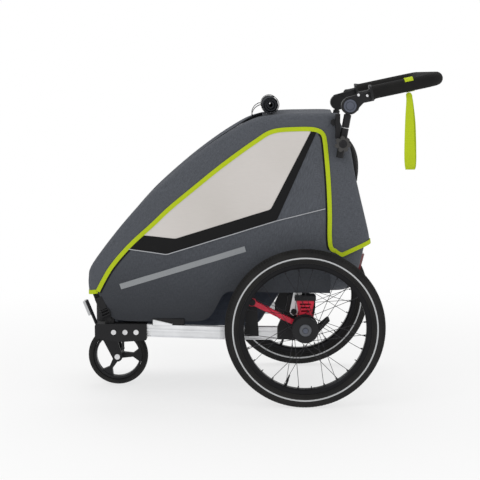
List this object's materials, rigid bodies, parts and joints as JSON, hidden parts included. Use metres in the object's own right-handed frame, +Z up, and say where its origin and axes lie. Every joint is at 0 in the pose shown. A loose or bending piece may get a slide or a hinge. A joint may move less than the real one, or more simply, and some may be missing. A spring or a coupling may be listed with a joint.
{
  "type": "child bicycle trailer",
  "caption": "Folding child trailer with fabric cabin, sprung spoked wheels, swivelling stroller wheel and tilting push handle.",
  "frame": {"origin": "centre of the footprint on the ground, under the middle of the overall length and width", "axes": "+X towards the push handle (rear), -X towards the stroller wheel (front), -Y is the trailer's left side, +Z up"},
  "size_m": [1.1347, 0.67, 1.0413],
  "materials": {
    "aluminium": "satin anodised",
    "black_casting": "glass-filled, matt",
    "bolt_steel": "zinc plated",
    "cover_fabric": "melange weave",
    "tub_fabric": "coated weave",
    "window_film": "milky film",
    "seat_fabric": "padded weave",
    "webbing": "woven webbing",
    "black_plastic": "fine texture",
    "red_plastic": "moulded",
    "red_coating": "powder coat",
    "red_elastomer": "moulded",
    "clear_reflector": "prismatic",
    "red_reflector": "prismatic",
    "rolled_fabric": "mesh and film roll",
    "spoke_steel": "black spoke",
    "rim_black": "anodised black",
    "tyre_rubber": "block tread",
    "grip_foam": "foam",
    "knob_plastic": "worn, matt",
    "button_grey": "soft touch",
    "lime_webbing": "woven webbing"
  },
  "bodies": {
    "chassis": {"left_rail": "aluminium", "right_rail": "aluminium", "front_crossbar": "aluminium", "seat_crossbar": "aluminium", "axle_beam": "black_casting", "left_front_bracket": "black_casting", "right_front_bracket": "black_casting", "bracket_bolts": "bolt_steel", "left_suspension_mount": "black_casting", "right_suspension_mount": "black_casting", "arm_pivot_brackets": "black_casting", "swivel_housing": "black_casting", "tub": "tub_fabric", "left_side_panel": "cover_fabric", "right_side_panel": "cover_fabric", "side_windows": "window_film", "canopy": "cover_fabric", "luggage_box": "cover_fabric", "seat_cushion": "seat_fabric", "seat_back": "seat_fabric", "harness_straps": "webbing", "harness_buckle": "black_plastic", "front_reflectors": "clear_reflector", "rear_reflectors": "red_reflector", "left_elastomer": "red_elastomer", "right_elastomer": "red_elastomer"},
    "buckle_button": {"buckle_button": "red_plastic"},
    "roll_bar": {"roll_bar": "aluminium", "handle_sockets": "black_casting", "rolled_cover": "rolled_fabric"},
    "left_rear_post": {"left_rear_post": "aluminium"},
    "right_rear_post": {"right_rear_post": "aluminium"},
    "left_arm": {"left_arm": "red_coating", "left_axle": "bolt_steel"},
    "right_arm": {"right_arm": "red_coating", "right_axle": "bolt_steel"},
    "left_wheel": {"left_hub": "black_plastic", "left_spokes": "spoke_steel", "left_rim": "rim_black", "left_tyre": "tyre_rubber"},
    "right_wheel": {"right_hub": "black_plastic", "right_spokes": "spoke_steel", "right_rim": "rim_black", "right_tyre": "tyre_rubber"},
    "left_release_button": {"left_release_button": "button_grey"},
    "right_release_button": {"right_release_button": "button_grey"},
    "caster_fork": {"fork": "black_casting", "front_axle_bolt": "bolt_steel"},
    "front_wheel": {"front_rim": "black_plastic", "front_tyre": "tyre_rubber"},
    "brake_pedal": {"brake_pedal": "black_plastic"},
    "handle_slide": {"handle_tubes": "aluminium", "tilt_sockets": "black_casting"},
    "left_star_knob": {"left_star_knob": "knob_plastic"},
    "right_star_knob": {"right_star_knob": "knob_plastic"},
    "handle_arm": {"handle_arm": "black_casting", "grip": "grip_foam"},
    "left_tilt_button": {"left_tilt_button": "button_grey"},
    "right_tilt_button": {"right_tilt_button": "button_grey"},
    "wrist_strap": {"wrist_strap": "lime_webbing"}
  },
  "joints": [
    {"name": "roll_bar_fold", "type": "hinge", "parent": "chassis", "child": "roll_bar", "pos_m": [-0.47, 0, 0.264], "axis": [0, 1, 0], "range_deg": [0, 34], "deforming": ["left_side_panel", "right_side_panel", "side_windows", "canopy", "luggage_box", "seat_back", "seat_cushion", "harness_straps"]},
    {"name": "left_post_fold", "type": "hinge", "parent": "chassis", "child": "left_rear_post", "pos_m": [0.113, -0.2315, 0.292], "axis": [0, 1, 0], "range_deg": [-85, 0]},
    {"name": "right_post_fold", "type": "hinge", "parent": "chassis", "child": "right_rear_post", "pos_m": [0.113, 0.2315, 0.292], "axis": [0, 1, 0], "range_deg": [-85, 0]},
    {"name": "brake_pedal_press", "type": "hinge", "parent": "chassis", "child": "brake_pedal", "pos_m": [0.184, -0.17, 0.222], "axis": [0, 1, 0], "range_deg": [0, 20]},
    {"name": "caster_swivel", "type": "hinge", "parent": "chassis", "child": "caster_fork", "pos_m": [-0.518, 0, 0.21], "axis": [0, 0, 1], "continuous": true},
    {"name": "front_wheel_spin", "type": "hinge", "parent": "caster_fork", "child": "front_wheel", "pos_m": [-0.467, 0, 0.1], "axis": [0, 1, 0], "continuous": true},
    {"name": "harness_button_press", "type": "slide", "parent": "chassis", "child": "buckle_button", "axis": [0, 0, -1], "range_m": [0, 0.003], "stiffness_N_per_m": 800, "springref_m": -0.002},
    {"name": "handle_height", "type": "slide", "parent": "roll_bar", "child": "handle_slide", "axis": [0.1736, 0, 0.9848], "range_m": [0, 0.04]},
    {"name": "handle_tilt", "type": "hinge", "parent": "handle_slide", "child": "handle_arm", "pos_m": [0.279, 0, 0.937], "axis": [0, 1, 0], "range_deg": [-60, 60]},
    {"name": "wrist_strap_swing", "type": "hinge", "parent": "handle_arm", "child": "wrist_strap", "pos_m": [0.45868, -0.272, 0.9696], "axis": [0, 1, 0], "range_deg": [-60, 60]},
    {"name": "left_suspension", "type": "hinge", "parent": "chassis", "child": "left_arm", "pos_m": [-0.019, -0.253, 0.326], "axis": [0, 1, 0], "range_deg": [-4, 0], "stiffness_Nm_per_rad": 700, "springref_deg": 1.72, "deforming": ["left_elastomer"]},
    {"name": "left_wheel_spin", "type": "hinge", "parent": "left_arm", "child": "left_wheel", "pos_m": [0.146, -0.3, 0.25], "axis": [0, 1, 0], "continuous": true},
    {"name": "left_release_press", "type": "slide", "parent": "left_arm", "child": "left_release_button", "axis": [0, 1, 0], "range_m": [0, 0.003], "stiffness_N_per_m": 600, "springref_m": -0.002},
    {"name": "left_star_knob_turn", "type": "hinge", "parent": "roll_bar", "child": "left_star_knob", "pos_m": [0.25851, -0.27, 0.82079], "axis": [0, 1, 0], "range_deg": [0, 360]},
    {"name": "left_tilt_button_press", "type": "slide", "parent": "handle_arm", "child": "left_tilt_button", "axis": [0, 1, 0], "range_m": [0, 0.004], "stiffness_N_per_m": 600, "springref_m": -0.002},
    {"name": "right_suspension", "type": "hinge", "parent": "chassis", "child": "right_arm", "pos_m": [-0.019, 0.253, 0.326], "axis": [0, 1, 0], "range_deg": [-4, 0], "stiffness_Nm_per_rad": 700, "springref_deg": 1.72, "deforming": ["right_elastomer"]},
    {"name": "right_wheel_spin", "type": "hinge", "parent": "right_arm", "child": "right_wheel", "pos_m": [0.146, 0.3, 0.25], "axis": [0, 1, 0], "continuous": true},
    {"name": "right_release_press", "type": "slide", "parent": "right_arm", "child": "right_release_button", "axis": [0, -1, 0], "range_m": [0, 0.003], "stiffness_N_per_m": 600, "springref_m": -0.002},
    {"name": "right_star_knob_turn", "type": "hinge", "parent": "roll_bar", "child": "right_star_knob", "pos_m": [0.25851, 0.27, 0.82079], "axis": [0, 1, 0], "range_deg": [0, 360]},
    {"name": "right_tilt_button_press", "type": "slide", "parent": "handle_arm", "child": "right_tilt_button", "axis": [0, -1, 0], "range_m": [0, 0.004], "stiffness_N_per_m": 600, "springref_m": -0.002}
  ],
  "couplings": [
    {"joint": "left_post_fold", "follows": "roll_bar_fold", "ratio": -2.5},
    {"joint": "right_post_fold", "follows": "roll_bar_fold", "ratio": -2.5},
    {"joint": "wrist_strap_swing", "follows": "handle_tilt", "ratio": -1}
  ]
}
